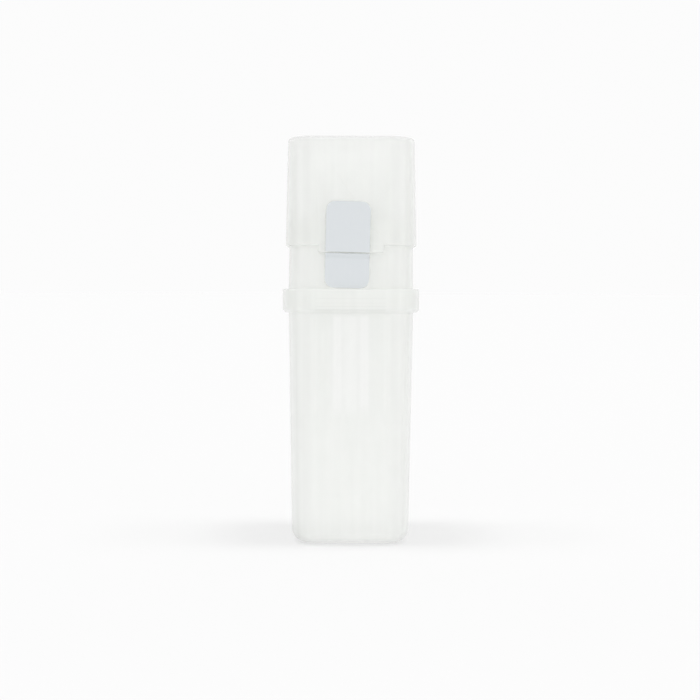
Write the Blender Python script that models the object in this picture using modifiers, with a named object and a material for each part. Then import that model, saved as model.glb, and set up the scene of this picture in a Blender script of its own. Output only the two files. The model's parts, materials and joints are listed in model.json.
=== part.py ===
# Lidded rack of filter pipette tips: a tapered box, a carrier that holds eight filter tips,
# a lift-off lid, and a seal label slit along the lid's lip.
# Blender 4.5, metres, +Z up. The origin is the middle of the box's underside, the front faces -Y.

import math
from collections import namedtuple

import bmesh
import bpy
from mathutils import Matrix, Vector

MM = 0.001

# Gaps
SEAT_GAP = 0.3 * MM          # under a piece that rests on another
LID_FIT = 0.3 * MM           # lid wall to carrier wall, each side
SOCKET_FIT = 0.5 * MM        # carrier beads to the inside of the collar
HOLE_FIT = 0.35 * MM         # tip barrel to its hole, each side
FILTER_FIT = 0.2 * MM        # filter plug to the bore, each side
LABEL_GAP = 0.2 * MM         # under the label

# Tips, measured from the carrier's deck
TIP_PITCH = 12.0 * MM
LARGE_REACH = 111.5 * MM     # deck to the tip's end
LARGE_BARREL = 81.0 * MM     # straight part below the deck
LARGE_NOZZLE = 12.5 * MM     # slender end below the cone
LARGE_HUB = 24.7 * MM        # socket above the deck
LARGE_RADIUS = 4.5 * MM
LARGE_END_RADIUS = 1.1 * MM
SMALL_REACH = 79.0 * MM
SMALL_BARREL = 34.0 * MM
SMALL_NOZZLE = 9.0 * MM
SMALL_HUB = 20.7 * MM
SMALL_RADIUS = 3.6 * MM
SMALL_END_RADIUS = 0.9 * MM
TIP_WALL = 0.75 * MM
ORIFICE_WALL = 0.45 * MM
BARREL_TAPER = 0.003         # loss of radius for each unit of length
NOZZLE_TAPER = 0.035
HUB_STEP = 0.8 * MM          # hub radius over barrel radius
COLLAR_STEP = 0.4 * MM       # tip collar and rim over the hub
COLLAR_RING = 1.3 * MM       # height of the ring that rests on the deck
RIM_RING = 2.2 * MM          # height of the thick ring at the tip's mouth
SOCKET_TAPER = 0.012
FILTER_LENGTH = 7.4 * MM
FILTER_LEDGE = 0.35 * MM     # step in the bore under the filter
FILTER_DROP = 1.7 * MM       # ledge below the deck
RIB_COUNT = 8
RIB_WIDTH = 0.8 * MM
TURN_STEPS = 16

# Carrier
SIDE_SPACE = 5.4 * MM        # outer tips' collars to the carrier's wall
CARRIER_WALL = 1.3 * MM
DECK_ROUND = 1.0 * MM
NECK_HEIGHT = 27.8 * MM      # deck above the box's collar
NECK_TAPER = 0.018
SLEEVE_DEPTH = 5.0 * MM
SLEEVE_WALL = 0.8 * MM
BEAD_PROUD = 0.3 * MM
BEAD_HEIGHT = 0.9 * MM
BEAD_PITCH = 2.5 * MM
BEAD_COUNT = 2
BEAD_START = 1.6 * MM        # first bead above the carrier's lower edge

# Box
BOX_WALL = 1.4 * MM
FLOOR_SPACE = 16.8 * MM      # floor to the ends of the long tips
BOX_TAPER = 0.0165
BOX_FOOT_ROUND = 4.0 * MM
BOX_COLLAR_HEIGHT = 9.3 * MM
BOX_COLLAR_CHAMFER = 1.0 * MM
CORNER_RADIUS = 10.5 * MM    # plan corner of the neck, the others keep its centre
CORNER_STEPS = 8

# Lid
LID_WALL = 1.2 * MM
LID_TAPER = 0.023
LID_GAP = 17.0 * MM          # rim of the lid above the box's collar
LID_HEADROOM = 5.6 * MM      # over the tallest tips
LID_ROUND = 1.5 * MM
STOP_WIDTH = 1.2 * MM        # ribs inside the lid that rest on the deck
STOP_OVERLAP = 0.7 * MM
STOP_PLACE = 14.0 * MM       # from the middle of each side
LIP_WIDTH = 26.0 * MM        # thumb lip at the front
LIP_DROP = 2.85 * MM
LIP_RISE = 1.2 * MM
LIP_PROUD = 0.4 * MM
LIP_ROUND = 0.5 * MM

# Label
LABEL_WIDTH = 17.2 * MM
LABEL_ABOVE = 20.2 * MM      # from the slit up
LABEL_BELOW = 13.7 * MM      # from the slit down
LABEL_CORNER = 2.2 * MM
LABEL_SHIFT = -1.4 * MM      # left of the middle
LABEL_TILT = math.radians(1.3)
LABEL_THICKNESS = 0.3 * MM
LABEL_SLIT = 0.3 * MM
LABEL_RAMP = 1.3 * MM        # height of its bend over the lip
LABEL_TENT = 3.4 * MM        # height of the lower half's stand-off from the wall
LABEL_TENT_PROUD = 1.3 * MM

# Sizes that follow from the ones above
BOX_FLOOR = BOX_WALL
DECK_TOP = BOX_FLOOR + FLOOR_SPACE + LARGE_REACH - SEAT_GAP
BOX_COLLAR_TOP = DECK_TOP - NECK_HEIGHT
BOX_COLLAR_BOTTOM = BOX_COLLAR_TOP - BOX_COLLAR_HEIGHT
CARRIER_BOTTOM = BOX_COLLAR_BOTTOM + BOX_WALL + SEAT_GAP
LARGE_HUB_RADIUS = LARGE_RADIUS + HUB_STEP
DECK_HALF = TIP_PITCH + LARGE_HUB_RADIUS + COLLAR_STEP + SIDE_SPACE + CARRIER_WALL
NECK_HALF = DECK_HALF + NECK_HEIGHT * NECK_TAPER
LID_RIM = BOX_COLLAR_TOP + LID_GAP
LID_TOP = DECK_TOP + SEAT_GAP + max(LARGE_HUB, SMALL_HUB) + LID_HEADROOM + LID_WALL
LIP_BOTTOM = LID_RIM - LIP_DROP
LIP_TOP = LID_RIM + LIP_RISE
CORNER_CENTRE = NECK_HALF - CORNER_RADIUS

TipSize = namedtuple("TipSize", "reach barrel nozzle hub radius end_radius")
LARGE = TipSize(LARGE_REACH, LARGE_BARREL, LARGE_NOZZLE, LARGE_HUB, LARGE_RADIUS, LARGE_END_RADIUS)
SMALL = TipSize(SMALL_REACH, SMALL_BARREL, SMALL_NOZZLE, SMALL_HUB, SMALL_RADIUS, SMALL_END_RADIUS)

# Holes of the deck: name, column, row, size. Row +1 is at the back.
PLACES = (
    ("large_tip_left", -1, 1, LARGE),
    ("large_tip_middle", 0, 1, LARGE),
    ("large_tip_right", 1, 1, LARGE),
    ("small_tip_side_left", -1, 0, SMALL),
    ("small_tip_side_right", 1, 0, SMALL),
    ("small_tip_front_left", -1, -1, SMALL),
    ("small_tip_front_middle", 0, -1, SMALL),
    ("small_tip_front_right", 1, -1, SMALL),
)


def neck_half(z):
    """Half the width of the carrier's wall at a height."""
    return NECK_HALF - (z - BOX_COLLAR_TOP) * NECK_TAPER


def box_half(z):
    """Half the width of the box's tapered wall at a height."""
    return NECK_HALF - (BOX_COLLAR_BOTTOM - z) * BOX_TAPER


def lid_half(z):
    """Half the width of the lid at a height."""
    return neck_half(LID_RIM) + LID_FIT + LID_WALL - (z - LID_RIM) * LID_TAPER


def hole_radius(size):
    return size.radius + HOLE_FIT


def ease(t):
    """Smooth step from 0 to 1."""
    t = min(max(t, 0.0), 1.0)
    return t * t * (3.0 - 2.0 * t)


def clear_scene():
    for thing in list(bpy.data.objects):
        bpy.data.objects.remove(thing, do_unlink=True)


def new_collection(name):
    group = bpy.data.collections.new(name)
    bpy.context.scene.collection.children.link(group)
    return group


def new_material(name, colour, roughness, metallic=0.0):
    material = bpy.data.materials.new(name)
    material.use_nodes = True
    shader = material.node_tree.nodes["Principled BSDF"]
    shader.inputs["Base Color"].default_value = (*colour, 1.0)
    shader.inputs["Roughness"].default_value = roughness
    shader.inputs["Metallic"].default_value = metallic
    return material


def add_object(name, bm, group, material=None):
    mesh = bpy.data.meshes.new(name)
    bm.to_mesh(mesh)
    bm.free()
    thing = bpy.data.objects.new(name, mesh)
    group.objects.link(thing)
    if material:
        mesh.materials.append(material)
    return thing


def add_cutter(name, bm, group):
    cutter = add_object(name, bm, group)
    cutter.hide_render = True
    cutter.display_type = "WIRE"
    return cutter


def add_boolean(thing, cutter, operation):
    boolean = thing.modifiers.new(cutter.name, "BOOLEAN")
    boolean.operation = operation
    boolean.solver = "EXACT"
    boolean.object = cutter


def smooth(thing, angle=35.0):
    thing.data.shade_smooth()
    thing.data.set_sharp_from_angle(angle=math.radians(angle))


def place_ring(verts, half, z):
    """Moves an outline's points to another width and height, keeping the centres of its corners."""
    radius = CORNER_RADIUS + half - NECK_HALF
    for vert in verts:
        centre = Vector((math.copysign(CORNER_CENTRE, vert.co.x), math.copysign(CORNER_CENTRE, vert.co.y)))
        outward = (vert.co.xy - centre).normalized()
        vert.co.xy = centre + outward * radius
        vert.co.z = z


def square_shell(rings, cap_up):
    """An open surface of rounded square rings. The first ring is closed by a flat face."""
    bm = bmesh.new()
    bmesh.ops.create_grid(bm, x_segments=1, y_segments=1, size=NECK_HALF)
    bmesh.ops.bevel(bm, geom=bm.verts[:], offset=CORNER_RADIUS, offset_type="OFFSET",
                    segments=CORNER_STEPS, profile=0.5, affect="VERTICES")
    half, z = rings[0]
    place_ring(bm.verts, half, z)
    edges = bm.edges[:]
    for half, z in rings[1:]:
        grown = bmesh.ops.extrude_edge_only(bm, edges=edges)["geom"]
        edges = [part for part in grown if isinstance(part, bmesh.types.BMEdge)]
        place_ring([part for part in grown if isinstance(part, bmesh.types.BMVert)], half, z)
    bmesh.ops.recalc_face_normals(bm, faces=bm.faces[:])
    cap = max(bm.faces, key=lambda face: len(face.verts))
    if (cap.normal.z > 0) != cap_up:
        bmesh.ops.reverse_faces(bm, faces=bm.faces[:])
    return bm


def add_wall(thing, thickness):
    wall = thing.modifiers.new("wall", "SOLIDIFY")
    wall.thickness = thickness
    wall.offset = -1.0
    wall.use_even_offset = True
    wall.use_rim = True


def rounded_edge(half, z, radius, z_sign, steps):
    """Rings round the edge between a flat end and the wall, from the flat outwards."""
    rings = []
    for step in range(steps + 1):
        turn = 0.5 * math.pi * step / steps
        rings.append((half - radius + radius * math.sin(turn), z + z_sign * radius * (1.0 - math.cos(turn))))
    return rings


def block(low, high, round_off=0.0, steps=2):
    """A box between two corners, with rounded edges."""
    bm = bmesh.new()
    bmesh.ops.create_cube(bm, size=1.0)
    size = high - low
    bmesh.ops.scale(bm, vec=size, verts=bm.verts)
    bmesh.ops.translate(bm, vec=(low + high) / 2, verts=bm.verts)
    if round_off:
        bmesh.ops.bevel(bm, geom=bm.edges[:], offset=round_off, offset_type="OFFSET",
                        segments=steps, profile=0.5, affect="EDGES")
    return bm


def cylinders(places, radius_of, low, high):
    """Upright cylinders at the tips' places, all in one mesh."""
    bm = bmesh.new()
    for name, column, row, size in places:
        middle = Vector((column * TIP_PITCH, row * TIP_PITCH, (low + high) / 2))
        bmesh.ops.create_cone(bm, cap_ends=True, segments=TURN_STEPS, radius1=radius_of(size),
                              radius2=radius_of(size), depth=high - low,
                              matrix=Matrix.Translation(middle))
    return bm


def make_box(group, material):
    """Tapered box with a round-edged foot, and a collar at its mouth that the carrier sits in."""
    outer = neck_half(CARRIER_BOTTOM) + BEAD_PROUD + SOCKET_FIT + BOX_WALL
    rings = rounded_edge(box_half(0.0), 0.0, BOX_FOOT_ROUND, 1, 5)
    rings.append((box_half(BOX_COLLAR_BOTTOM), BOX_COLLAR_BOTTOM))
    rings.append((outer - BOX_COLLAR_CHAMFER, BOX_COLLAR_BOTTOM))
    rings.append((outer, BOX_COLLAR_BOTTOM + BOX_COLLAR_CHAMFER))
    rings.append((outer, BOX_COLLAR_TOP))
    box = add_object("base_box", square_shell(rings, cap_up=False), group, material)
    add_wall(box, BOX_WALL)
    smooth(box)
    return box


def bead_rings():
    """Rings of the snap beads round the carrier's foot, from the top down."""
    rings = []
    for bead in reversed(range(BEAD_COUNT)):
        middle = CARRIER_BOTTOM + BEAD_START + bead * BEAD_PITCH
        for offset, proud in ((0.5, 0.0), (0.0, BEAD_PROUD), (-0.5, 0.0)):
            z = middle + offset * BEAD_HEIGHT
            rings.append((neck_half(z) + proud, z))
    return rings


def make_carrier(group, cutters, material):
    """Upside-down cup whose deck has a hole and a short sleeve for each tip."""
    rings = rounded_edge(DECK_HALF, DECK_TOP, DECK_ROUND, -1, 3)
    rings += bead_rings()
    rings.append((neck_half(CARRIER_BOTTOM), CARRIER_BOTTOM))
    carrier = add_object("tip_carrier", square_shell(rings, cap_up=True), group, material)
    add_wall(carrier, CARRIER_WALL)

    sleeve_end = DECK_TOP - CARRIER_WALL - SLEEVE_DEPTH
    bm = cylinders(PLACES, lambda size: hole_radius(size) + SLEEVE_WALL, sleeve_end, DECK_TOP - CARRIER_WALL / 2)
    add_boolean(carrier, add_cutter("sleeves", bm, cutters), "UNION")
    bm = cylinders(PLACES, hole_radius, sleeve_end - SLEEVE_DEPTH, DECK_TOP + SLEEVE_DEPTH)
    add_boolean(carrier, add_cutter("deck_holes", bm, cutters), "DIFFERENCE")
    smooth(carrier)
    return carrier


def stop_ribs():
    """Ribs inside the lid, two on each side, whose lower ends rest on the deck's edge."""
    bm = bmesh.new()
    low = DECK_TOP + SEAT_GAP
    high = LID_TOP - LID_WALL / 2
    reach_in = DECK_HALF - DECK_ROUND - STOP_OVERLAP
    reach_out = lid_half(LID_TOP) - LID_WALL / 2
    for quarter in range(4):
        turn = Matrix.Rotation(quarter * math.pi / 2, 4, "Z")
        for side in (-1, 1):
            middle = Vector((side * STOP_PLACE, (reach_in + reach_out) / 2, (low + high) / 2))
            size = Matrix.Diagonal((STOP_WIDTH, reach_out - reach_in, high - low, 1.0))
            bmesh.ops.create_cube(bm, size=1.0, matrix=turn @ Matrix.Translation(middle) @ size)
    return bm


def make_lid(group, cutters, material):
    """Cap over the carrier, with stop ribs inside and a thumb lip at the front of its rim."""
    rings = rounded_edge(lid_half(LID_TOP), LID_TOP, LID_ROUND, -1, 4)
    rings.append((lid_half(LID_RIM), LID_RIM))
    lid = add_object("lid", square_shell(rings, cap_up=True), group, material)
    add_wall(lid, LID_WALL)
    add_boolean(lid, add_cutter("lid_stops", stop_ribs(), cutters), "UNION")

    inner = neck_half(LIP_BOTTOM) + LID_FIT
    outer = lid_half(LID_RIM) + LIP_PROUD
    bm = block(Vector((-LIP_WIDTH / 2, -outer, LIP_BOTTOM)), Vector((LIP_WIDTH / 2, -inner, LIP_TOP)), LIP_ROUND)
    add_boolean(lid, add_cutter("thumb_lip", bm, cutters), "UNION")
    smooth(lid)
    return lid


def label_half(rows, lay):
    """A strip of label laid row by row on a surface. The corners of its last row are rounded."""
    bm = bmesh.new()
    corners = [bm.verts.new((side * LABEL_WIDTH / 2, 0.0, rows[0])) for side in (-1, 1)]
    edges = [bm.edges.new(corners)]
    for low, high in zip(rows, rows[1:]):
        grown = bmesh.ops.extrude_edge_only(bm, edges=edges)["geom"]
        edges = [part for part in grown if isinstance(part, bmesh.types.BMEdge)]
        ends = [part for part in grown if isinstance(part, bmesh.types.BMVert)]
        bmesh.ops.translate(bm, vec=Vector((0.0, 0.0, high - low)), verts=ends)
    bmesh.ops.bevel(bm, geom=ends, offset=LABEL_CORNER, offset_type="OFFSET",
                    segments=5, profile=0.5, affect="VERTICES")
    bmesh.ops.rotate(bm, matrix=Matrix.Rotation(LABEL_TILT, 3, "Y"), verts=bm.verts)
    bmesh.ops.translate(bm, vec=Vector((LABEL_SHIFT, 0.0, LIP_BOTTOM)), verts=bm.verts)
    for vert in bm.verts:
        vert.co.y = -lay(vert.co.z)
    bmesh.ops.recalc_face_normals(bm, faces=bm.faces[:])
    bm.normal_update()
    if bm.faces[:][0].normal.y > 0:
        bmesh.ops.reverse_faces(bm, faces=bm.faces[:])
    return bm


def add_label_thickness(label):
    card = label.modifiers.new("card", "SOLIDIFY")
    card.thickness = LABEL_THICKNESS
    card.offset = 1.0
    card.use_even_offset = True
    smooth(label, 60.0)


def make_label_upper(group, material):
    """Half of the label on the lid, bent out over the thumb lip."""

    def lay(z):
        over_lip = ease((LIP_TOP + LABEL_RAMP - z) / LABEL_RAMP)
        return max(lid_half(z), lid_half(z) + LIP_PROUD * over_lip) + LABEL_GAP

    ramp_top = LIP_TOP + LABEL_RAMP - LIP_BOTTOM
    rows = [LABEL_SLIT / 2]
    rows += [ramp_top - LABEL_RAMP * step / 4 for step in range(4, -1, -1)]
    rows.append(LABEL_ABOVE)
    label = add_object("label_upper", label_half(rows, lay), group, material)
    add_label_thickness(label)
    return label


def make_label_lower(group, material):
    """Half of the label on the carrier's neck, still standing off where it bridged the step."""

    def lay(z):
        tent = ease((z - LIP_BOTTOM + LABEL_TENT) / LABEL_TENT)
        return neck_half(z) + LABEL_TENT_PROUD * tent + LABEL_GAP

    rows = [-LABEL_SLIT / 2]
    rows += [-LABEL_TENT * step / 5 for step in range(1, 6)]
    rows.append(-LABEL_BELOW)
    label = add_object("label_lower", label_half(rows, lay), group, material)
    add_label_thickness(label)
    return label


def tip_outline(size):
    """Half section of a tip: down its outside from the mouth, and up its bore. Height 0 is the deck."""
    seat = SEAT_GAP
    mouth = seat + size.hub
    hub = size.radius + HUB_STEP
    ring = hub + COLLAR_STEP
    foot = size.radius - BARREL_TAPER * size.barrel
    nozzle_top = -size.reach + size.nozzle
    neck = size.end_radius + NOZZLE_TAPER * size.nozzle
    ledge = -FILTER_DROP
    seat_bore = size.radius - TIP_WALL + FILTER_LEDGE
    filter_top = ledge + SEAT_GAP + FILTER_LENGTH + SEAT_GAP
    socket_foot = filter_top + COLLAR_RING
    mouth_bore = hub - TIP_WALL
    socket_bore = mouth_bore - SOCKET_TAPER * (mouth - socket_foot)
    return [
        (ring, mouth),
        (ring, mouth - RIM_RING),
        (hub, mouth - RIM_RING - COLLAR_STEP),
        (hub, seat + COLLAR_RING + COLLAR_STEP),
        (ring, seat + COLLAR_RING),
        (ring, seat),
        (size.radius, seat),
        (foot, -size.barrel),
        (neck, nozzle_top),
        (size.end_radius, -size.reach),
        (size.end_radius - ORIFICE_WALL, -size.reach),
        (neck - ORIFICE_WALL, nozzle_top),
        (foot - TIP_WALL, -size.barrel),
        (size.radius - TIP_WALL, ledge),
        (seat_bore, ledge),
        (seat_bore, filter_top),
        (socket_bore, socket_foot),
        (mouth_bore, mouth - COLLAR_STEP),
        (mouth_bore + COLLAR_STEP, mouth),
    ]


def turned(outline):
    """Mesh of a closed outline for a Screw modifier."""
    bm = bmesh.new()
    verts = [bm.verts.new((radius, 0.0, z)) for radius, z in outline]
    for start, end in zip(verts, verts[1:] + verts[:1]):
        bm.edges.new((start, end))
    return bm


def add_turn(thing):
    screw = thing.modifiers.new("turn", "SCREW")
    screw.axis = "Z"
    screw.angle = math.tau
    screw.steps = TURN_STEPS
    screw.render_steps = TURN_STEPS
    screw.use_merge_vertices = True
    screw.merge_threshold = 0.00001
    screw.use_smooth_shade = True


def hub_ribs(size):
    """Grip ribs between a tip's collar and its rim."""
    bm = bmesh.new()
    hub = size.radius + HUB_STEP
    low = SEAT_GAP + COLLAR_RING / 2
    high = SEAT_GAP + size.hub - RIM_RING / 2
    inner = hub - TIP_WALL / 2
    outer = hub + COLLAR_STEP / 2
    for rib in range(RIB_COUNT):
        turn = Matrix.Rotation(math.tau * (rib + 0.5) / RIB_COUNT, 4, "Z")
        middle = Vector(((inner + outer) / 2, 0.0, (low + high) / 2))
        shape = Matrix.Diagonal((outer - inner, RIB_WIDTH, high - low, 1.0))
        bmesh.ops.create_cube(bm, size=1.0, matrix=turn @ Matrix.Translation(middle) @ shape)
    return bm


def make_tips(group, cutters, plastic, porous):
    for label, size in (("large", LARGE), ("small", SMALL)):
        add_cutter(label + "_hub_ribs", hub_ribs(size), cutters)
    for name, column, row, size in PLACES:
        place = Vector((column * TIP_PITCH, row * TIP_PITCH, DECK_TOP))
        ribs = bpy.data.objects[("large" if size is LARGE else "small") + "_hub_ribs"].copy()
        ribs.name = name + "_ribs"
        cutters.objects.link(ribs)
        ribs.location = place
        tip = add_object(name, turned(tip_outline(size)), group, plastic)
        tip.location = place
        add_turn(tip)
        add_boolean(tip, ribs, "UNION")

        radius = size.radius - TIP_WALL + FILTER_LEDGE - FILTER_FIT
        bm = bmesh.new()
        bmesh.ops.create_cone(bm, cap_ends=True, segments=TURN_STEPS, radius1=radius,
                              radius2=radius, depth=FILTER_LENGTH)
        plug = add_object(name.replace("tip", "filter"), bm, group, porous)
        plug.location = place + Vector((0.0, 0.0, SEAT_GAP - FILTER_DROP + FILTER_LENGTH / 2))
        smooth(plug)


def main():
    clear_scene()
    group = new_collection("filter_tip_rack")
    cutters = new_collection("cutters")
    milky = new_material("milky_plastic", (0.87, 0.89, 0.85), 0.32)
    tip_plastic = new_material("tip_plastic", (0.86, 0.88, 0.87), 0.25)
    porous = new_material("porous_filter", (0.93, 0.93, 0.91), 0.9)
    paper = new_material("label_paper", (0.73, 0.77, 0.80), 0.5)

    make_box(group, milky)
    make_carrier(group, cutters, milky)
    make_tips(group, cutters, tip_plastic, porous)
    make_label_lower(group, paper)

    lift = bpy.data.objects.new("lid_lift", None)
    group.objects.link(lift)
    for piece in (make_lid(group, cutters, milky), make_label_upper(group, paper)):
        piece.parent = lift


main()
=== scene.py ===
import json
import math

import bpy
from mathutils import Matrix, Vector

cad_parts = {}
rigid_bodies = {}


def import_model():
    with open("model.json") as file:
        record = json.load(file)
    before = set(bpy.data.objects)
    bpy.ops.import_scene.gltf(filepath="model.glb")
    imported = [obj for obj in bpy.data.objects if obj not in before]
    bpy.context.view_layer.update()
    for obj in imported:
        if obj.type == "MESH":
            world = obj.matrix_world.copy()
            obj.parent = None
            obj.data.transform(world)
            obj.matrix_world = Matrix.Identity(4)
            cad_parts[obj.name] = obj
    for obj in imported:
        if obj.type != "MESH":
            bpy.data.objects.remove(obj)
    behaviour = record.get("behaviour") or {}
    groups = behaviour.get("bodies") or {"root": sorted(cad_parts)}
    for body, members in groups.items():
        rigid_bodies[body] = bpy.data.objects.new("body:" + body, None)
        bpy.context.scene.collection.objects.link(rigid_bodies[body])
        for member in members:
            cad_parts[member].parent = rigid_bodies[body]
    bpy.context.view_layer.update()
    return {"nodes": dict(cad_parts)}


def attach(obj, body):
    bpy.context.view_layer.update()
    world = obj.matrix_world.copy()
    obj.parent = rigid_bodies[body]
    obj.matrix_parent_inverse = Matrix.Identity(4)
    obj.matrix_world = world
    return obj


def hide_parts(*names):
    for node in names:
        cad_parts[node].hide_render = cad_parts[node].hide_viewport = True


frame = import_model()
print("frame loaded:", len(frame["nodes"]), "CAD nodes")

mm = 0.001
tiny = 0.02 * mm  # how near a point must lie to a plane to count as on it
weld = 0.002 * mm  # how near two points are merged

# Heights and plan that the box, the carrier and the lid share, as in the CAD
shared = {
    "cornerCentre": 14.4004 * mm,  # centre of every rounded plan corner, from the middle
    "cornerSteps": 14,
    "flatTurn": 0.2,  # degrees: faces that turn less than this become one
    "collarBottom": 92.3 * mm,
    "collarTop": 101.6 * mm,
    "carrierBottom": 94.0 * mm,
    "deckTop": 129.4 * mm,
    "neckHalf": 24.9004 * mm,  # half width of the carrier at the collar's top
    "neckTaper": 0.018,
    "lidRim": 118.6 * mm,
    "lidStep": 1.5 * mm,  # how far the lid's rim stands out of the carrier's wall
    "lidTop": 161.2 * mm,
    "lidTaper": 0.023,
    "tipPitch": 12.0 * mm,
}


def neckHalf(z):  # half width of the carrier's wall at a height
    return shared["neckHalf"] - (z - shared["collarTop"]) * shared["neckTaper"]


def lidHalf(z):  # half width of the lid's wall at a height
    rim = shared["lidRim"]
    return neckHalf(rim) + shared["lidStep"] - (z - rim) * shared["lidTaper"]


# Hand tools: selection, profiles and shells


def dropSelection():
    if bpy.context.object and bpy.context.object.mode != "OBJECT":
        bpy.ops.object.mode_set(mode="OBJECT")
    bpy.ops.object.select_all(action="DESELECT")


def pickUp(piece):  # makes one piece the only selected and active one
    dropSelection()
    piece.select_set(True)
    bpy.context.view_layer.objects.active = piece


def selectWhere(piece, test):  # in edit mode: selects the points whose place passes the test
    bpy.ops.mesh.select_mode(type="VERT")
    bpy.ops.mesh.select_all(action="DESELECT")
    bpy.ops.object.mode_set(mode="OBJECT")
    for point in piece.data.vertices:
        point.select = test(point.co)
    bpy.ops.object.mode_set(mode="EDIT")


def finishMesh():  # in edit mode: merges doubles and turns the faces outwards
    bpy.ops.mesh.select_all(action="SELECT")
    bpy.ops.mesh.remove_doubles(threshold=weld)
    bpy.ops.mesh.normals_make_consistent(inside=False)
    bpy.ops.object.mode_set(mode="OBJECT")


def smoothShade(piece, angle=32):
    pickUp(piece)
    bpy.ops.object.shade_smooth_by_angle(angle=math.radians(angle))


def soften(corners, closed=False, turnStep=math.radians(16)):
    # Corners are (across, up, rounding): each rounded corner becomes points on its arc
    line = []
    count = len(corners)
    for index, (across, up, rounding) in enumerate(corners):
        here = Vector((across, up))
        if not rounding or (not closed and index in (0, count - 1)):
            line.append(here)
            continue
        before = (Vector(corners[index - 1][:2]) - here).normalized()
        after = (Vector(corners[(index + 1) % count][:2]) - here).normalized()
        half = before.angle(after) / 2
        middle = here + (before + after).normalized() * rounding / math.sin(half)
        first = here + before * rounding / math.tan(half) - middle
        last = here + after * rounding / math.tan(half) - middle
        turn = first.angle_signed(last)  # clockwise is positive
        steps = max(2, math.ceil(abs(turn) / turnStep))
        for step in range(steps + 1):
            line.append(middle + Matrix.Rotation(-turn * step / steps, 2) @ first)
    return line


def drawLine(name, points):  # a chain of edges, extruded point by point from one vertex
    dropSelection()
    bpy.ops.mesh.primitive_plane_add(size=mm, location=points[0])
    piece = bpy.context.object
    piece.name = piece.data.name = name
    bpy.ops.object.transform_apply(location=True, rotation=True, scale=True)
    bpy.ops.object.mode_set(mode="EDIT")
    bpy.ops.mesh.select_all(action="SELECT")
    bpy.ops.mesh.merge(type="CENTER")
    for start, end in zip(points, points[1:]):
        bpy.ops.mesh.extrude_region_move(TRANSFORM_OT_translate={"value": end - start})
    return piece


def squareShell(name, corners):
    # A wall's whole section, spun round one plan corner, drawn out to the middle planes and mirrored.
    # It begins and ends at the corner's centre, where the flat floor or top is filled in.
    centre = shared["cornerCentre"]
    corners = [(half - centre if half else 0.0, z, rounding) for half, z, rounding in corners]
    points = [Vector((centre + across, centre, up)) for across, up in soften(corners)]
    piece = drawLine(name, points)
    bpy.ops.mesh.select_all(action="SELECT")
    bpy.ops.mesh.spin(steps=shared["cornerSteps"], angle=-math.pi / 2,
                      center=(centre, centre, 0), axis=(0, 0, 1))
    bpy.ops.mesh.select_all(action="SELECT")
    bpy.ops.mesh.remove_doubles(threshold=weld)
    selectWhere(piece, lambda co: abs(co.y - centre) < tiny and co.x > centre - tiny)
    bpy.ops.mesh.extrude_region_move(TRANSFORM_OT_translate={"value": (0, -centre, 0)})
    selectWhere(piece, lambda co: abs(co.x - centre) < tiny and co.y > centre - tiny)
    bpy.ops.mesh.extrude_region_move(TRANSFORM_OT_translate={"value": (-centre, 0, 0)})
    bpy.ops.object.mode_set(mode="OBJECT")
    mirror = piece.modifiers.new("quarters", "MIRROR")
    mirror.use_axis = (True, True, False)
    mirror.merge_threshold = weld
    bpy.ops.object.modifier_apply(modifier=mirror.name)
    bpy.ops.object.mode_set(mode="EDIT")
    bpy.ops.mesh.select_mode(type="VERT")
    bpy.ops.mesh.select_all(action="DESELECT")
    bpy.ops.mesh.select_non_manifold()
    bpy.ops.mesh.fill_holes(sides=0)
    bpy.ops.mesh.select_all(action="SELECT")
    bpy.ops.mesh.dissolve_limited(angle_limit=math.radians(shared["flatTurn"]))
    finishMesh()
    return piece


def turnedPiece(name, corners, steps=48, closed=True):
    # A half section spun round the Z axis
    line = soften(corners, closed)
    points = [Vector((across, 0.0, up)) for across, up in line + (line[:1] if closed else [])]
    piece = drawLine(name, points)
    bpy.ops.mesh.select_all(action="SELECT")
    bpy.ops.mesh.spin(steps=steps, angle=math.tau, center=(0, 0, 0), axis=(0, 0, 1))
    finishMesh()
    return piece


def roundedBar(name, low, high, rounding, steps=3):
    # A bar between two corners: a cube at its size and place, with its edges bevelled
    low, high = Vector(low), Vector(high)
    dropSelection()
    bpy.ops.mesh.primitive_cube_add(size=1.0, location=(low + high) / 2, scale=high - low)
    piece = bpy.context.object
    piece.name = piece.data.name = name
    bpy.ops.object.transform_apply(location=True, rotation=True, scale=True)
    bpy.ops.object.mode_set(mode="EDIT")
    bpy.ops.mesh.select_all(action="SELECT")
    bpy.ops.mesh.bevel(offset=rounding, segments=steps, profile=0.5, affect="EDGES")
    finishMesh()
    return piece


def copyOf(piece, name, place=Matrix.Identity(4)):  # a copy with its own mesh, moved in its mesh
    twin = piece.copy()
    twin.data = piece.data.copy()
    twin.name = twin.data.name = name
    bpy.context.scene.collection.objects.link(twin)
    twin.data.transform(place)
    return twin


def joinAll(name, parts):  # joins parts into one mesh, as a tool for a boolean
    pickUp(parts[0])
    for part in parts:
        part.select_set(True)
    bpy.ops.object.join()
    joined = bpy.context.object
    joined.name = joined.data.name = name
    return joined


def cutOrAdd(piece, tool, operation):  # a boolean that is applied at once; the tool goes
    pickUp(piece)
    boolean = piece.modifiers.new("shape", "BOOLEAN")
    boolean.operation = operation
    boolean.solver = "EXACT"
    boolean.use_self = False
    boolean.object = tool
    bpy.ops.object.modifier_apply(modifier=boolean.name)
    bpy.data.objects.remove(tool, do_unlink=True)


def place(piece, body, slot, material, *stands):
    piece.data.materials.clear()
    piece.data.materials.append(material)
    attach(piece, body)
    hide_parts(*stands)


# Node tools


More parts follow.
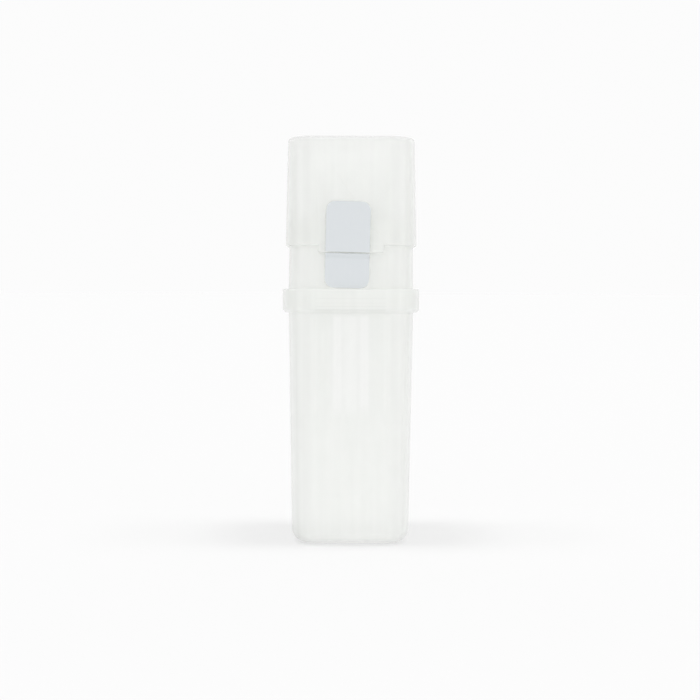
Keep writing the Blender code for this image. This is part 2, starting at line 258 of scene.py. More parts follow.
class Wire:  # one output socket; a sum on it adds its Math node
    def __init__(self, desk, socket):
        self.desk, self.socket = desk, socket

    def maths(self, operation, first, second):
        return self.desk.node("ShaderNodeMath", {"operation": operation}, {0: first, 1: second})

    def __add__(self, other):
        return self.maths("ADD", self, other)

    def __radd__(self, other):
        return self.maths("ADD", other, self)

    def __sub__(self, other):
        return self.maths("SUBTRACT", self, other)

    def __rsub__(self, other):
        return self.maths("SUBTRACT", other, self)

    def __mul__(self, other):
        return self.maths("MULTIPLY", self, other)

    def __rmul__(self, other):
        return self.maths("MULTIPLY", other, self)


class Desk:  # the nodes of one material or world
    def __init__(self, tree):
        self.tree = tree
        tree.nodes.clear()

    def node(self, kind, settings=None, values=None, out=0):
        made = self.tree.nodes.new(kind)
        for key, value in (settings or {}).items():
            if key == "stops":
                stops = made.color_ramp.elements
                while len(stops) < len(value):
                    stops.new(0.5)
                for stop, (position, colour) in zip(stops, value):
                    stop.position, stop.color = position, colour
            else:
                setattr(made, key, value)
        for key, value in (values or {}).items():
            if isinstance(value, Wire):
                self.tree.links.new(value.socket, made.inputs[key])
            else:
                made.inputs[key].default_value = value
        return Wire(self, made.outputs[out] if made.outputs else None)

    def blend(self, mask, first, second):  # a mix of two colours
        return self.node("ShaderNodeMix", {"data_type": "RGBA"}, {0: mask, 6: first, 7: second}, out=2)

    def asSeen(self, light, past, through):
        # One colour for the light, one as seen past the object and one as seen through its plastic
        seen = 0.0
        for kind in ("Camera", "Glossy", "Transmission"):
            seen = self.node("ShaderNodeLightPath", out=f"Is {kind} Ray") + seen
        layers = self.node("ShaderNodeLightPath", out="Transparent Depth")
        background = self.blend(layers.maths("MINIMUM", layers, 1.0), past, through)
        return self.blend(seen, light, background)

    def noise(self, stretch, scale, detail=2.0, roughness=0.5):  # noise on the piece's own place
        coordinates = self.node("ShaderNodeTexCoord", out="Object")
        spread = self.node("ShaderNodeMapping", {"vector_type": "POINT"},
                           {"Vector": coordinates, "Scale": stretch})
        return self.node("ShaderNodeTexNoise", None,
                         {"Vector": spread, "Scale": scale, "Detail": detail, "Roughness": roughness})


def newMaterial(name):
    material = bpy.data.materials.new(name)
    material.use_nodes = True
    return material, Desk(material.node_tree)


def grey(value):
    return (value, value, value, 1.0)


# Materials


def onTheFlats(desk):  # how far a point is from the middle of its side, and its height
    spot = desk.node("ShaderNodeTexCoord", out="Object")
    x, y, z = [desk.node("ShaderNodeSeparateXYZ", None, {"Vector": spot}, out=axis) for axis in "XYZ"]
    return x.maths("MINIMUM", x.maths("ABSOLUTE", x, 0.0), y.maths("ABSOLUTE", y, 0.0)), z


def rise(desk, value, start, end):  # 0 at the start and 1 at the end, smooth between
    return desk.node("ShaderNodeMapRange", {"interpolation_type": "SMOOTHSTEP"},
                     {"Value": value, "From Min": start, "From Max": end})


def lines(desk, value, rows, core=0.2):  # soft lines: place, half width, strength; the core has it all
    total = 0.0
    for centre, halfWidth, strength in rows:
        apart = value.maths("ABSOLUTE", value - centre, 0.0)
        total = rise(desk, apart, halfWidth, core * halfWidth) * strength + total
    return total


def beadShadeLines(desk, look):
    # Painted shade: dark level lines on the collar's flats only, standing in for the shade of the
    # carrier's beads and edge behind it
    across, height = onTheFlats(desk)
    return rise(desk, across, *look["beadShadeEnds"]) * lines(desk, height, look["paintedBeadShade"])


def paintedBarrelLight(desk, look):
    # Painted light: in front of the barrels the wall is paler, and cloudier, so brighter, in streaks, down
    # to where they end, standing in for light through the barrels
    across, height = onTheFlats(desk)
    inside = rise(desk, height, *look["fieldFoot"]) * rise(desk, height, *look["fieldTop"])
    return rise(desk, across, *look["fieldEdge"]) * inside, lines(desk, across, look["glowStreaks"]) * inside


def milkyPlastic(name, look):
    # Natural polypropylene: milky, partly see-through, with flow lines down the wall and a fine grain
    material, desk = newMaterial(name)
    clouds = desk.noise((1, 1, 1), look["cloudScale"], look["cloudDetail"])
    flow = desk.noise(look["flowStretch"], look["flowScale"])
    grain = desk.noise((1, 1, 1), look["grainScale"])
    worn = desk.noise(look["scuffStretch"], look["scuffScale"], look["scuffDetail"], look["scuffBreakUp"])
    scuffStart, scuffFull = look["scuffRange"]
    scuffs = desk.node("ShaderNodeValToRGB", {"stops": [(scuffStart, grey(0)), (scuffFull, grey(1))]},
                       {"Fac": worn})
    colour = desk.blend(clouds, look["colour"], look["cloudColour"])
    colour = desk.blend(scuffs * look["scuffTint"], colour, look["scuffColour"])
    # painted shade: dark level lines on the collar, where the carrier's beads and edge stand behind it
    if "paintedBeadShade" in look:
        colour = desk.blend(beadShadeLines(desk, look), colour, look["beadShadeColour"])
    height = grain * look["grainHeight"] + flow * look["flowHeight"]
    bump = desk.node("ShaderNodeBump", None, {"Strength": 1.0, "Distance": mm, "Height": height})
    alpha = look["alpha"] + (clouds - 0.5) * look["alphaClouds"] + (flow - 0.5) * look["alphaFlow"]
    # painted shade: darker bands where the corners bend; the corners are also made more see-through
    if "bends" in look:
        across, _ = onTheFlats(desk)
        colour = desk.blend(lines(desk, across, look["bends"]), colour, look["cornerShadeColour"])
        alpha = alpha - rise(desk, across, *look["cornerEdge"]) * look["cornerClearness"]
    # painted light: a paler field with brighter streaks in front of the barrels
    if "glowStreaks" in look:
        field, glowStreaks = paintedBarrelLight(desk, look)
        colour = desk.blend(field, colour, look["barrelGlowColour"])
        alpha = alpha + glowStreaks * (flow + 0.5)
    roughness = look["roughness"] + scuffs * look["scuffRoughness"] + (flow - 0.5) * look["flowRoughness"]
    surface = desk.node("ShaderNodeBsdfPrincipled", None, {
        "Base Color": colour,
        "Roughness": roughness,
        "IOR": look["refraction"],
        "Alpha": alpha,
        "Normal": bump,
    })
    desk.node("ShaderNodeOutputMaterial", None, {"Surface": surface})
    return material


milkyLook = {
    "colour": (0.977, 0.985, 0.966, 1.0),
    "cloudColour": (0.985, 0.991, 0.978, 1.0),
    "cloudScale": 45.0,
    "cloudDetail": 3.0,
    "flowScale": 260.0,
    "flowStretch": (1, 1, 0.02),
    "flowHeight": 0.012,  # heights are in mm
    "flowRoughness": 0.08,
    "grainScale": 2600.0,
    "grainHeight": 0.005,
    "scuffScale": 320.0,
    "scuffStretch": (1, 1, 0.35),
    "scuffDetail": 6.0,
    "scuffBreakUp": 0.7,
    "scuffRange": (0.52, 0.72),
    "scuffTint": 0.25,
    "scuffColour": (0.94, 0.945, 0.94, 1.0),
    "scuffRoughness": 0.16,
    "roughness": 0.34,
    "refraction": 1.49,
    "alpha": 0.42,
    "alphaClouds": 0.05,
    "alphaFlow": 0.04,
}
wallLook = {
    **milkyLook,
    "cornerEdge": (19.0 * mm, 22.0 * mm),  # from the middle: where the corner begins and is full
    "cornerClearness": 0.09,
    # painted shade: a darker band where each corner bends
    "cornerShadeColour": (0.93, 0.936, 0.922, 1.0),
    "bends": [(17.6 * mm, 3.0 * mm, 0.5)],  # painted shade band: distance from the middle, half width and strength
}
boxLook = {
    **wallLook,
    "colour": (0.964, 0.9742, 0.954, 1.0),
    "cloudColour": (0.973, 0.9802, 0.967, 1.0),
    # painted shade: dark level lines of the carrier's beads and edge behind the collar
    "beadShadeColour": (0.9, 0.905, 0.89, 1.0),
    "beadShadeEnds": (14.5 * mm, 13.0 * mm),
    "paintedBeadShade": [  # height, half width and strength of each painted shade line
        (97.9 * mm, 0.4 * mm, 0.4),
        (96.1 * mm, 0.35 * mm, 0.3),
        (94.75 * mm, 0.35 * mm, 0.6),
        (93.45 * mm, 0.4 * mm, 0.8),
    ],
    # painted light in front of the barrels: a paler field and brighter streaks
    "barrelGlowColour": (0.998, 1.0, 0.993, 1.0),
    "fieldEdge": (10.5 * mm, 4.5 * mm),
    "fieldFoot": (49.0 * mm, 57.0 * mm),
    "fieldTop": (92.3 * mm, 90.0 * mm),
    "glowStreaks": [  # painted bright streaks: distance from the middle, half width and strength
        (0.0, 4.2 * mm, 0.03),
        (5.2 * mm, 2.5 * mm, 0.026),
        (14.4 * mm, 2.2 * mm, 0.016),
    ],
}
lidLook = {
    **wallLook,
    "colour": (0.967, 0.976, 0.958, 1.0),
    "alpha": 0.36,
    # the painted corner shade is wider and stronger on the lid
    "bends": [(17.6 * mm, 3.2 * mm, 0.85)],
}
carrierLook = {
    **wallLook,
    "colour": (0.98, 0.987, 0.969, 1.0),
    "roughness": 0.4,
    "alpha": 0.44,
}
tipLook = {
    **milkyLook,
    "colour": (0.99, 0.995, 0.99, 1.0),
    "cloudColour": (0.995, 0.997, 0.995, 1.0),
    "grainHeight": 0.004,
    "roughness": 0.22,
    "alpha": 0.4,
}

filterLook = {
    "colour": (0.96, 0.96, 0.95, 1.0),
    # painted shade in the pores
    "poreShadeColour": (0.84, 0.84, 0.82, 1.0),
    "poreScale": 3200.0,
    "poreRange": (0.35, 0.75),
    "poreDepth": 0.2 * mm,
    "poreStrength": 0.6,
    "roughness": 0.9,
}


def porousPlug(name, look):
    # Sintered plug: beads of plastic with pores between them, darkened with painted shade
    material, desk = newMaterial(name)
    coordinates = desk.node("ShaderNodeTexCoord", out="Object")
    beads = desk.node("ShaderNodeTexVoronoi", {"feature": "F1"},
                      {"Vector": coordinates, "Scale": look["poreScale"]})
    poreStart, poreFull = look["poreRange"]
    pores = desk.node("ShaderNodeValToRGB", {"stops": [(poreStart, grey(0)), (poreFull, grey(1))]},
                      {"Fac": beads})
    # painted shade darkens the pores
    colour = desk.blend(pores, look["colour"], look["poreShadeColour"])
    bump = desk.node("ShaderNodeBump", None, {
        "Strength": look["poreStrength"],
        "Distance": look["poreDepth"],
        "Height": 1.0 - beads,
    })
    surface = desk.node("ShaderNodeBsdfPrincipled", None,
                        {"Base Color": colour, "Roughness": look["roughness"], "Normal": bump})
    desk.node("ShaderNodeOutputMaterial", None, {"Surface": surface})
    return material


labelLook = {
    "colour": (0.71, 0.744, 0.768, 1.0),
    "fibreColour": (0.733, 0.764, 0.784, 1.0),
    "fibreScale": 900.0,
    "fibreStretch": (1, 1, 0.3),
    "fibreDetail": 4.0,
    "fibreBreakUp": 0.6,
    "fibreRoughness": 0.1,
    "peelScale": 1800.0,
    "peelDetail": 1.0,
    "peelHeight": 0.006,  # mm
    "roughness": 0.46,
}


def labelFilm(name, look):
    # Satin film: a faint fibre in the colour and a very fine orange peel
    material, desk = newMaterial(name)
    fibre = desk.noise(look["fibreStretch"], look["fibreScale"], look["fibreDetail"], look["fibreBreakUp"])
    peel = desk.noise((1, 1, 1), look["peelScale"], look["peelDetail"])
    height = peel * look["peelHeight"]
    bump = desk.node("ShaderNodeBump", None, {"Strength": 1.0, "Distance": mm, "Height": height})
    surface = desk.node("ShaderNodeBsdfPrincipled", None, {
        "Base Color": desk.blend(fibre, look["colour"], look["fibreColour"]),
        "Roughness": look["roughness"] + (fibre - 0.5) * look["fibreRoughness"],
        "Normal": bump,
    })
    desk.node("ShaderNodeOutputMaterial", None, {"Surface": surface})
    return material


boxPlastic = milkyPlastic("boxPlastic", boxLook)
lidPlastic = milkyPlastic("lidPlastic", lidLook)
carrierPlastic = milkyPlastic("carrierPlastic", carrierLook)
tipPlastic = milkyPlastic("tipPlastic", tipLook)
filterPlug = porousPlug("filterPlug", filterLook)
sealFilm = labelFilm("sealFilm", labelLook)
print("materials made")

# Box

boxShape = {
    "footHalf": 23.3775 * mm,
    "footRound": 5.5 * mm,
    "recessHalf": 16.4 * mm,
    "recessDepth": 0.35 * mm,
    "recessSlope": 0.5 * mm,
    "wall": 1.4 * mm,
    "collarHalf": 27.2372 * mm,
    "collarChamfer": 1.0 * mm,
    "ledgeRound": 0.4 * mm,
    "edge": 0.3 * mm,
}


def makeBox(size):
    edge, wall, ledge = size["edge"], size["wall"], size["ledgeRound"]
    bottom, top, collar = shared["collarBottom"], shared["collarTop"], size["collarHalf"]
    neck = shared["neckHalf"]
    corners = [
        (0, size["recessDepth"], 0),
        (size["recessHalf"], size["recessDepth"], edge),
        (size["recessHalf"] + size["recessSlope"], 0, edge / 2),
        (size["footHalf"], 0, size["footRound"]),
        (neck, bottom, ledge),
        (collar - size["collarChamfer"], bottom, edge),
        (collar, bottom + size["collarChamfer"], edge),
        (collar, top, edge),
        (collar - wall, top, edge),
        (collar - wall, bottom + wall, ledge),
        (neck - wall, bottom + wall, ledge),
        (size["footHalf"] - wall, wall, size["footRound"] - wall),
        (0, wall, 0),
    ]
    piece = squareShell("boxShell", corners)
    smoothShade(piece)
    return piece


place(makeBox(boxShape), "rack", "milky_plastic", boxPlastic, "base_box")
print("box made")

# The tips' places: name, column, row and kind. Row 1 is at the back.

tipPlaces = [
    ("large_tip_left", -1, 1, "large"),
    ("large_tip_middle", 0, 1, "large"),
    ("large_tip_right", 1, 1, "large"),
    ("small_tip_side_left", -1, 0, "small"),
    ("small_tip_side_right", 1, 0, "small"),
    ("small_tip_front_left", -1, -1, "small"),
    ("small_tip_front_middle", 0, -1, "small"),
    ("small_tip_front_right", 1, -1, "small"),
]


def tipPlace(column, row):
    pitch = shared["tipPitch"]
    return Matrix.Translation((column * pitch, row * pitch, shared["deckTop"]))


# Carrier

carrierShape = {
    "wall": 1.3 * mm,
    "deckRound": 1.0 * mm,
    "innerRound": 0.8 * mm,
    "edge": 0.25 * mm,
    "beadHeights": (98.1 * mm, 95.6 * mm),
    "beadHalf": 0.45 * mm,
    "beadProud": 0.3 * mm,
    "beadRound": 0.3 * mm,
    "beadFoot": 0.15 * mm,
    "sleeveDepth": 5.0 * mm,
    "sleeveWall": 0.8 * mm,
    "sleeveRound": 0.2 * mm,
    "holeRadius": {"large": 4.85 * mm, "small": 3.95 * mm},
    "sinkDepth": 0.3 * mm,  # each hole opens out by twice this much at the deck
    "drillPast": 1.0 * mm,
}


def makeCarrier(size):
    wall, deck = size["wall"], shared["deckTop"]
    bead = [
        (size["beadHalf"], 0, size["beadFoot"]),
        (0, size["beadProud"], size["beadRound"]),
        (-size["beadHalf"], 0, size["beadFoot"]),
    ]
    corners = [(0, deck, 0), (neckHalf(deck), deck, size["deckRound"])]
    for z in size["beadHeights"]:
        for offset, proud, rounding in bead:
            corners.append((neckHalf(z + offset) + proud, z + offset, rounding))
    bottom = shared["carrierBottom"]
    corners += [
        (neckHalf(bottom), bottom, size["edge"]),
        (neckHalf(bottom) - wall, bottom, size["edge"]),
        (neckHalf(deck) - wall, deck - wall, size["innerRound"]),
        (0, deck - wall, 0),
    ]
    piece = squareShell("tipCarrier", corners)
    sleeves, holes = [], []
    for _, column, row, kind in tipPlaces:
        hole, sink = size["holeRadius"][kind], size["sinkDepth"]
        outside, low = hole + size["sleeveWall"], -wall - size["sleeveDepth"]
        past = low - size["drillPast"]
        sleeve = turnedPiece("sleeve", [
            (0, low, 0),
            (outside, low, size["sleeveRound"]),
            (outside, -wall / 2, 0),
            (0, -wall / 2, 0),
        ], closed=False)
        drill = turnedPiece("drill", [
            (0, past, 0),
            (hole, past, 0),
            (hole, -sink, 0),
            (hole + 2 * sink, sink, 0),
            (0, sink, 0),
        ], closed=False)
        for tool, kept in ((sleeve, sleeves), (drill, holes)):
            tool.data.transform(tipPlace(column, row))
            kept.append(tool)
    cutOrAdd(piece, joinAll("sleeves", sleeves), "UNION")
    cutOrAdd(piece, joinAll("holes", holes), "DIFFERENCE")
    bpy.ops.object.mode_set(mode="EDIT")  # the drills leave doubles along their walls
    finishMesh()
    smoothShade(piece)
    return piece


place(makeCarrier(carrierShape), "rack", "milky_plastic", carrierPlastic, "tip_carrier")
print("carrier made")

# Lid

lidShape = {
    "wall": 1.2 * mm,
    "edge": 0.3 * mm,
    "topRound": 1.5 * mm,
    "innerRound": 0.7 * mm,
    "recessHalf": 21.2 * mm,
    "recessDepth": 0.35 * mm,
    "recessSlope": 0.6 * mm,
    "stopRound": 0.25 * mm,
    "stopPlace": 14.0 * mm,
    "stopWidth": 1.2 * mm,
    "stopReach": 22.7 * mm,
    "stopLow": 129.7 * mm,
    "lipHalf": 13.0 * mm,
    "lipLow": 115.75 * mm,
    "lipHigh": 119.8 * mm,
    "lipInner": 24.9457 * mm,
    "lipProud": 0.4 * mm,
    "lipRound": 0.7 * mm,
    "lipSteps": 4,
}


def makeLid(size):
    wall, edge, top, rim = size["wall"], size["edge"], shared["lidTop"], shared["lidRim"]
    corners = [
        (0, top - size["recessDepth"], 0),
        (size["recessHalf"], top - size["recessDepth"], edge),
        (size["recessHalf"] + size["recessSlope"], top, edge),
        (lidHalf(top), top, size["topRound"]),
        (lidHalf(rim), rim, edge),
        (lidHalf(rim) - wall, rim, edge),
        (lidHalf(top) - wall, top - wall, size["innerRound"]),
        (0, top - wall, 0),
    ]
    piece = squareShell("lidCap", corners)
    ribs = []
    for quarter in range(4):
        for side in (-1, 1):
            middle, half = side * size["stopPlace"], size["stopWidth"] / 2
            low = (middle - half, size["stopReach"], size["stopLow"])
            high = (middle + half, lidHalf(top) - wall / 2, top - wall / 2)
            rib = roundedBar("stopRib", low, high, size["stopRound"])
            rib.data.transform(Matrix.Rotation(quarter * math.pi / 2, 4, "Z"))
            ribs.append(rib)
    cutOrAdd(piece, joinAll("stopRibs", ribs), "UNION")
    low = (-size["lipHalf"], -lidHalf(rim) - size["lipProud"], size["lipLow"])
    high = (size["lipHalf"], -size["lipInner"], size["lipHigh"])
    lip = roundedBar("thumbLip", low, high, size["lipRound"], size["lipSteps"])
    bpy.ops.object.mode_set(mode="EDIT")  # its front fades into the wall above the rim
    fadeFrom = size["lipHigh"] - size["lipRound"] - tiny
    selectWhere(lip, lambda co: co.y < -lidHalf(rim) and co.z > fadeFrom)
    bpy.ops.transform.translate(value=(0, size["lipProud"], 0))
    bpy.ops.object.mode_set(mode="OBJECT")
    cutOrAdd(piece, lip, "UNION")
    smoothShade(piece)
    return piece


place(makeLid(lidShape), "lid", "milky_plastic", lidPlastic, "lid")
print("lid made")

# Tips and filters

tipShape = {
    "wall": 0.75 * mm,
    "orificeWall": 0.45 * mm,
    "hubStep": 0.8 * mm,
    "collarStep": 0.4 * mm,
    "collarRing": 1.3 * mm,
    "rimRing": 2.2 * mm,
    "seat": 0.3 * mm,
    "edge": 0.15 * mm,
    "ledgeDrop": 1.7 * mm,
    "ledge": 0.35 * mm,
    "ledgeRound": 0.1 * mm,
    "barrelRound": 3.0 * mm,
    "nozzleRound": 6.0 * mm,
    "endRound": 0.12 * mm,
    "socketRound": 0.3 * mm,
    "mouthRound": 0.2 * mm,
    "barrelTaper": 0.003,
    "nozzleTaper": 0.035,
    "socketTaper": 0.012,
    "filterLength": 7.4 * mm,
    "filterFit": 0.2 * mm,
    "filterChamfer": 0.4 * mm,
    "filterRound": 0.2 * mm,
    "filterDish": 0.1 * mm,
    "ribCount": 8,
    "ribWidth": 0.8 * mm,
    "ribRound": 0.12 * mm,
    "ribSteps": 2,
    "large": {"reach": 111.5 * mm, "barrel": 81.0 * mm, "nozzle": 12.5 * mm, "hub": 24.7 * mm,
              "radius": 4.5 * mm, "endRadius": 1.1 * mm},
    "small": {"reach": 79.0 * mm, "barrel": 34.0 * mm, "nozzle": 9.0 * mm, "hub": 20.7 * mm,
              "radius": 3.6 * mm, "endRadius": 0.9 * mm},
}


def makeTip(kind, size):
    own, edge, wall, seat = size[kind], size["edge"], size["wall"], size["seat"]
    radius, end, barrel = own["radius"], own["endRadius"], own["barrel"]
    hub = radius + size["hubStep"]
    ring, mouth = hub + size["collarStep"], seat + own["hub"]
    foot = radius - size["barrelTaper"] * barrel
    nozzleTop = own["nozzle"] - own["reach"]
    neck = end + size["nozzleTaper"] * own["nozzle"]
    thin = size["orificeWall"]
    filterTop = 2 * seat + size["filterLength"] - size["ledgeDrop"]
    mouthBore = hub - wall
    socket = mouthBore - size["socketTaper"] * (mouth - filterTop - size["collarRing"])
    ledge, ledgeRound, endRound = radius - wall + size["ledge"], size["ledgeRound"], size["endRound"]
    corners = [
        (ring, mouth, edge),
        (ring, mouth - size["rimRing"], edge),
        (hub, mouth - size["rimRing"] - size["collarStep"], edge),
        (hub, seat + size["collarRing"] + size["collarStep"], edge),
        (ring, seat + size["collarRing"], edge),
        (ring, seat, edge),
        (radius, seat, ledgeRound),
        (foot, -barrel, size["barrelRound"]),
        (neck, nozzleTop, size["nozzleRound"]),
        (end, -own["reach"], endRound),
        (end - thin, -own["reach"], endRound),
        (neck - thin, nozzleTop, size["nozzleRound"]),
        (foot - wall, -barrel, size["barrelRound"]),
        (radius - wall, -size["ledgeDrop"], ledgeRound),
        (ledge, -size["ledgeDrop"], ledgeRound),
        (ledge, filterTop, size["socketRound"]),
        (socket, filterTop + size["collarRing"], size["socketRound"]),
        (mouthBore, mouth - size["collarStep"], size["mouthRound"]),
        (mouthBore + size["collarStep"], mouth, ledgeRound),
    ]
    tip = turnedPiece(kind + "Tip", corners)
    ribs = []
    low = (hub - wall / 2, -size["ribWidth"] / 2, seat + size["collarRing"] / 2)
    high = (hub + size["collarStep"] / 2, size["ribWidth"] / 2, mouth - size["rimRing"] / 2)
    for number in range(size["ribCount"]):
        rib = roundedBar("gripRib", low, high, size["ribRound"], size["ribSteps"])
        rib.data.transform(Matrix.Rotation(math.tau * (number + 0.5) / size["ribCount"], 4, "Z"))
        ribs.append(rib)
    cutOrAdd(tip, joinAll("gripRibs", ribs), "UNION")
    smoothShade(tip)
    return tip


def makeFilter(kind, size):
    radius = size[kind]["radius"] - size["wall"] + size["ledge"] - size["filterFit"]
    chamfer, rounding, dish = size["filterChamfer"], size["filterRound"], size["filterDish"]
    low = size["seat"] - size["ledgeDrop"]
    high = low + size["filterLength"]
    plug = turnedPiece(kind + "Filter", [
        (0, low + dish, 0),
        (radius - chamfer, low, 0),
        (radius, low + chamfer, rounding),
        (radius, high - chamfer, rounding),
        (radius - chamfer, high, 0),
        (0, high - dish, 0),
    ], closed=False)
    smoothShade(plug, 40)
    return plug


def makeTips(size):
    masters = {kind: (makeTip(kind, size), makeFilter(kind, size)) for kind in ("large", "small")}
    for name, column, row, kind in tipPlaces:
        first, *others = name.split("_")
        camel = first + "".join(part.capitalize() for part in others)
        for master, node, slot, material in (
            (masters[kind][0], name, "tip_plastic", tipPlastic),
            (masters[kind][1], name.replace("tip", "filter"), "porous_filter", filterPlug),
        ):
            pieceName = camel if slot == "tip_plastic" else camel.replace("Tip", "Filter")
            place(copyOf(master, pieceName, tipPlace(column, row)), "rack", slot, material, node)
    for pair in masters.values():
        for master in pair:
            bpy.data.objects.remove(master, do_unlink=True)


makeTips(tipShape)
print("tips and filters made")

# Label

labelShape = {
    "width": 17.2 * mm,
    "above": 19.9 * mm,
    "below": 13.7 * mm,
    "corner": 3.3 * mm,
    "cornerSteps": 10,
    "shift": -1.4 * mm,
    "tilt": 1.3,  # degrees, clockwise seen from the front
    "slit": 0.5 * mm,
    "slitHeight": 115.75 * mm,
    "gap": 0.1 * mm,
    "thickness": 0.22 * mm,
    "tent": 2.6 * mm,  # height below the slit over which the lower half stands off its wall
    "tentProud": 1.35 * mm,
    "tentRows": 10,
    "ramp": 5.0 * mm,  # height above the lip over which the upper half comes down to its wall
    "rampRows": 8,
}


def ease(t):  # from 0 to 1, slow at both ends
    t = min(max(t, 0.0), 1.0)
    return t * t * (3.0 - 2.0 * t)


def labelHalf(name, near, far, lay, rows, size):
    # A card from the slit to its far edge, with two rounded corners, cut into rows and laid on the wall
    dropSelection()
    bpy.ops.mesh.primitive_plane_add(size=1.0, rotation=(math.pi / 2, 0, 0),
                                     location=(0, 0, (near + far) / 2))
    piece = bpy.context.object
    piece.name = piece.data.name = name
    piece.scale = (size["width"], abs(far - near), 1.0)
    bpy.ops.object.transform_apply(location=True, rotation=True, scale=True)
    bpy.ops.object.mode_set(mode="EDIT")
    selectWhere(piece, lambda co: abs(co.z - far) < tiny)
    bpy.ops.mesh.bevel(offset=size["corner"], segments=size["cornerSteps"], profile=0.5,
                       affect="VERTICES")
    for row in rows:
        bpy.ops.mesh.select_all(action="SELECT")
        bpy.ops.mesh.bisect(plane_co=(0, 0, row), plane_no=(0, 0, 1))
    bpy.ops.object.mode_set(mode="OBJECT")
    turn = Matrix.Rotation(math.radians(size["tilt"]), 4, "Y")
    piece.data.transform(Matrix.Translation((size["shift"], 0, size["slitHeight"])) @ turn)
    for point in piece.data.vertices:
        point.co.y = -lay(point.co.z)
    bpy.ops.object.mode_set(mode="EDIT")
    finishMesh()
    if piece.data.polygons[0].normal.y > 0:
        piece.data.flip_normals()
    card = piece.modifiers.new("card", "SOLIDIFY")
    card.thickness = size["thickness"]
    card.offset = 1.0
    bpy.ops.object.modifier_apply(modifier=card.name)
    smoothShade(piece, 50)
    return piece


def makeLabel(size):
    lipTop, slit, halfSlit = lidShape["lipHigh"], size["slitHeight"], size["slit"] / 2
    ramp, rampRows, tent, tentRows = size["ramp"], size["rampRows"], size["tent"], size["tentRows"]

    def layUpper(z):
        over = ease((lipTop + ramp - z) / ramp)
        return lidHalf(z) + lidShape["lipProud"] * over + size["gap"]

    def layLower(z):
        off = ease((z - slit + tent) / tent)
        return neckHalf(z) + size["tentProud"] * off + size["gap"]

    rampTop = lipTop + ramp - slit
    upperRows = [rampTop - ramp * step / rampRows for step in range(rampRows + 1)]
    upper = labelHalf("sealLabelUpper", halfSlit, size["above"], layUpper, upperRows, size)
    lowerRows = [-tent * step / tentRows for step in range(1, tentRows + 1)]
    lower = labelHalf("sealLabelLower", -halfSlit, -size["below"], layLower, lowerRows, size)
    place(upper, "lid", "label_film", sealFilm, "label_upper")
    place(lower, "rack", "label_film", sealFilm, "label_lower")


makeLabel(labelShape)
print("label made")

# Floor, light and camera

studio = {
    "white": (0.972, 0.89),  # the background as seen past the object and through its plastic
    "ambient": 1.305,
    "cards": [  # axis, side, level, start and end: a dimmer ceiling and dimmer sides
        ("Z", 1, 0.5, 0.55, 0.95),
        ("X", -1, 0.6, 0.5, 0.95),
        ("X", 1, 0.8, 0.5, 0.95),
    ],
    "floorColour": (0.0, 0.26, 0.26),  # for the light on the object, past it and through the plastic
    "floorGlow": (0.9, 0.5305, 0.435),
    "floorSize": 60.0,
    "sunAngle": 12,
    "suns": [  # name, strength, steepness, side: a thin shadow on both sides, and light on the tips
        ("lowRight", 0.4, 64, 1),
        ("highRight", 1.0, 79, 1),
        ("lowLeft", 0.4, 64, -1),
        ("highLeft", 1.0, 79, -1),
    ],
}


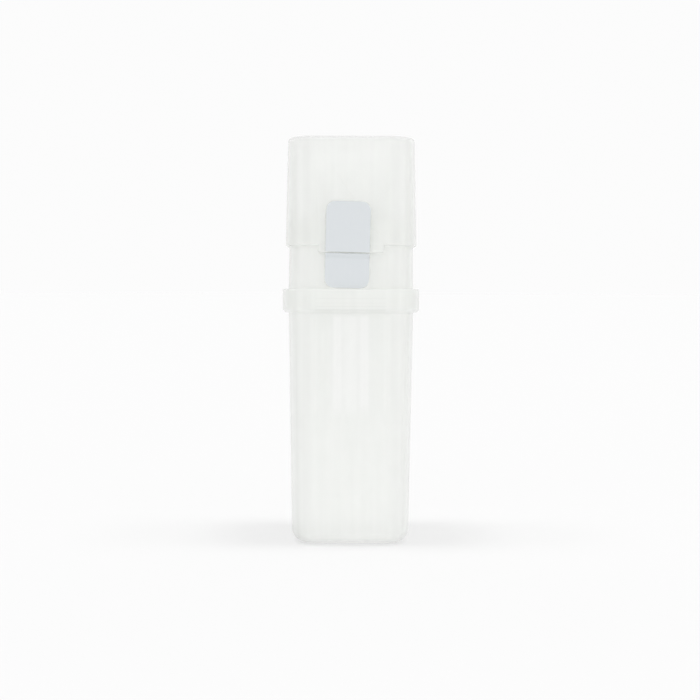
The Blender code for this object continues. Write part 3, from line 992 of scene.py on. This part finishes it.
def makeStudio(look):
    world = bpy.data.worlds.new("studioSky")
    bpy.context.scene.world = world
    world.use_nodes = True
    desk = Desk(world.node_tree)
    direction = desk.node("ShaderNodeTexCoord", out="Generated")
    ambient = grey(look["ambient"])
    for axis, side, level, start, end in look["cards"]:
        along = desk.node("ShaderNodeSeparateXYZ", None, {"Vector": direction}, out=axis)
        cover = desk.node("ShaderNodeMapRange", {"interpolation_type": "SMOOTHSTEP"},
                          {"Value": along * side, "From Min": start, "From Max": end})
        ambient = desk.blend(cover, ambient, grey(level))
    colour = desk.asSeen(ambient, *[grey(level) for level in look["white"]])
    sky = desk.node("ShaderNodeBackground", None, {"Color": colour, "Strength": 1.0})
    desk.node("ShaderNodeOutputWorld", None, {"Surface": sky})

    dropSelection()
    bpy.ops.mesh.primitive_plane_add(size=look["floorSize"], location=(0, 0, 0))
    floor = bpy.context.object
    floor.name = "floor"
    material, desk = newMaterial("paleFloor")
    glowColour = desk.asSeen(*[grey(level) for level in look["floorGlow"]])
    glow = desk.node("ShaderNodeEmission", None, {"Color": glowColour, "Strength": 1.0})
    paperColour = desk.asSeen(*[grey(level) for level in look["floorColour"]])
    paper = desk.node("ShaderNodeBsdfDiffuse", None, {"Color": paperColour})
    both = desk.node("ShaderNodeAddShader", None, {0: glow, 1: paper})
    desk.node("ShaderNodeOutputMaterial", None, {"Surface": both})
    floor.data.materials.append(material)

    sunlit = bpy.data.collections.new("sunlit")
    for thing in [floor] + [piece for piece in bpy.data.objects if "Tip" in piece.name]:
        sunlit.objects.link(thing)
    for name, strength, steepness, side in look["suns"]:
        lamp = bpy.data.lights.new(name, "SUN")
        lamp.energy = strength
        lamp.angle = math.radians(look["sunAngle"])
        sun = bpy.data.objects.new(name, lamp)
        sun.rotation_euler = (math.radians(90 - steepness), 0, side * math.pi / 2)
        sun.light_linking.receiver_collection = sunlit
        bpy.context.scene.collection.objects.link(sun)


cameraView = {
    "place": (-0.3 * mm, -500.0 * mm, 101.6 * mm),
    "down": 2.8777,  # degrees below level
    "roll": 0.2,
    "lens": 62.41,
    "sensor": 36.0,
    "clip": (0.01, 50.0),
}


def makeCamera(look):
    lens = bpy.data.cameras.new("frontCamera")
    lens.lens = look["lens"]
    lens.sensor_width = look["sensor"]
    lens.clip_start, lens.clip_end = look["clip"]
    camera = bpy.data.objects.new("frontCamera", lens)
    tilt = Matrix.Rotation(math.radians(90 - look["down"]), 4, "X")
    roll = Matrix.Rotation(math.radians(look["roll"]), 4, "Z")
    camera.matrix_world = Matrix.Translation(look["place"]) @ tilt @ roll
    bpy.context.scene.collection.objects.link(camera)
    bpy.context.scene.camera = camera


lightPaths = {  # light goes back and forth between the milky walls
    "max_bounces": 32,
    "diffuse_bounces": 24,
    "transparent_max_bounces": 48,
}

makeStudio(studio)
makeCamera(cameraView)
bpy.context.scene.view_settings.view_transform = "Standard"
for limit, count in lightPaths.items():
    setattr(bpy.context.scene.cycles, limit, count)
print("studio and camera made")
